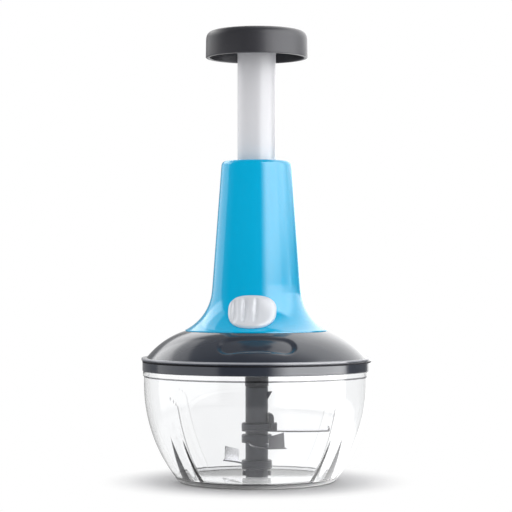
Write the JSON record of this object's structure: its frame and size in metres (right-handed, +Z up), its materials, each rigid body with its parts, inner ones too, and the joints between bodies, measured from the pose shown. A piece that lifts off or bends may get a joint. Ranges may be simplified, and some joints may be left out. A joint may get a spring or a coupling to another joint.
{
  "type": "plunger food chopper",
  "caption": "Press-down food chopper: a palm cap drives sickle blades in a clear bowl through a twisted rod and a ratchet in a flared tower.",
  "frame": {"origin": "centre of the base ring's standing face, on the worktop", "axes": "+Z up along the axis of blades, tower and plunger; -Y is the front with the lock button; +X right"},
  "size_m": [0.1612, 0.1612, 0.3147],
  "materials": {
    "clear_plastic": "clear, polished",
    "smoky_plastic": "smoky, half clear, polished",
    "blue_plastic": "glossy cyan blue",
    "white_plastic": "satin white",
    "cap_plastic": "satin dark grey",
    "tube_plastic": "satin light grey",
    "dark_plastic": "dark grey",
    "natural_plastic": "natural acetal",
    "grey_rubber": "soft grey rubber",
    "silicone": "soft silicone",
    "steel": "ground stainless steel",
    "zinc_steel": "bright zinc plated"
  },
  "bodies": {
    "bowl": {"bowl": "clear_plastic", "base_ring": "grey_rubber", "pivot_pin": "steel"},
    "head": {"lid": "smoky_plastic", "lid_gasket": "silicone", "cover_plate": "dark_plastic", "cover_screws": "zinc_steel", "tower": "blue_plastic", "tower_screws": "zinc_steel", "guide_tube": "natural_plastic", "top_bush": "natural_plastic", "stop_ring": "silicone", "clutch_housing": "natural_plastic", "housing_screws": "zinc_steel", "rod_bush": "natural_plastic", "spring_seat": "zinc_steel", "return_spring": "zinc_steel", "hub_bush": "natural_plastic"},
    "plunger": {"press_cap": "cap_plastic", "plunger_tube": "tube_plastic", "cap_screw": "zinc_steel", "plunger_foot": "natural_plastic", "drive_nut": "natural_plastic", "foot_screws": "zinc_steel"},
    "spindle": {"twist_rod": "steel", "ratchet_driver": "natural_plastic", "driver_pin": "steel"},
    "drive": {"drive_hub": "dark_plastic", "ratchet_crown": "dark_plastic", "hub_screw": "zinc_steel"},
    "lock": {"lock_button": "white_plastic", "lock_bolt": "white_plastic"},
    "blades": {"blade_shaft": "dark_plastic", "upper_blade": "steel", "middle_blade": "steel", "lower_blade": "steel", "upper_collar": "dark_plastic", "middle_collar": "dark_plastic", "lower_collar": "dark_plastic"}
  },
  "joints": [
    {"name": "lid_lift", "type": "slide", "parent": "bowl", "child": "head", "axis": [0, 0, 1], "range_m": [0, 0.1]},
    {"name": "plunger_slide", "type": "slide", "parent": "head", "child": "plunger", "axis": [0, 0, -1], "range_m": [0, 0.068], "stiffness_N_per_m": 120, "springref_m": -0.04, "deforming": ["return_spring"]},
    {"name": "spindle_spin", "type": "hinge", "parent": "head", "child": "spindle", "pos_m": [0, 0, 0.095], "axis": [0, 0, 1], "range_deg": [0, 690]},
    {"name": "drive_spin", "type": "hinge", "parent": "head", "child": "drive", "pos_m": [0, 0, 0.08], "axis": [0, 0, 1], "continuous": true},
    {"name": "blade_spin", "type": "hinge", "parent": "bowl", "child": "blades", "pos_m": [0, 0, 0.0035], "axis": [0, 0, 1], "continuous": true},
    {"name": "lock_turn", "type": "hinge", "parent": "head", "child": "lock", "pos_m": [0, 0, 0.122], "axis": [0, 0, 1], "range_deg": [0, 10.6]}
  ],
  "couplings": [
    {"joint": "spindle_spin", "follows": "plunger_slide", "rad_per_m": 174.53},
    {"joint": "drive_spin", "follows": "plunger_slide", "rad_per_m": 174.53},
    {"joint": "blade_spin", "follows": "plunger_slide", "rad_per_m": 174.53}
  ]
}
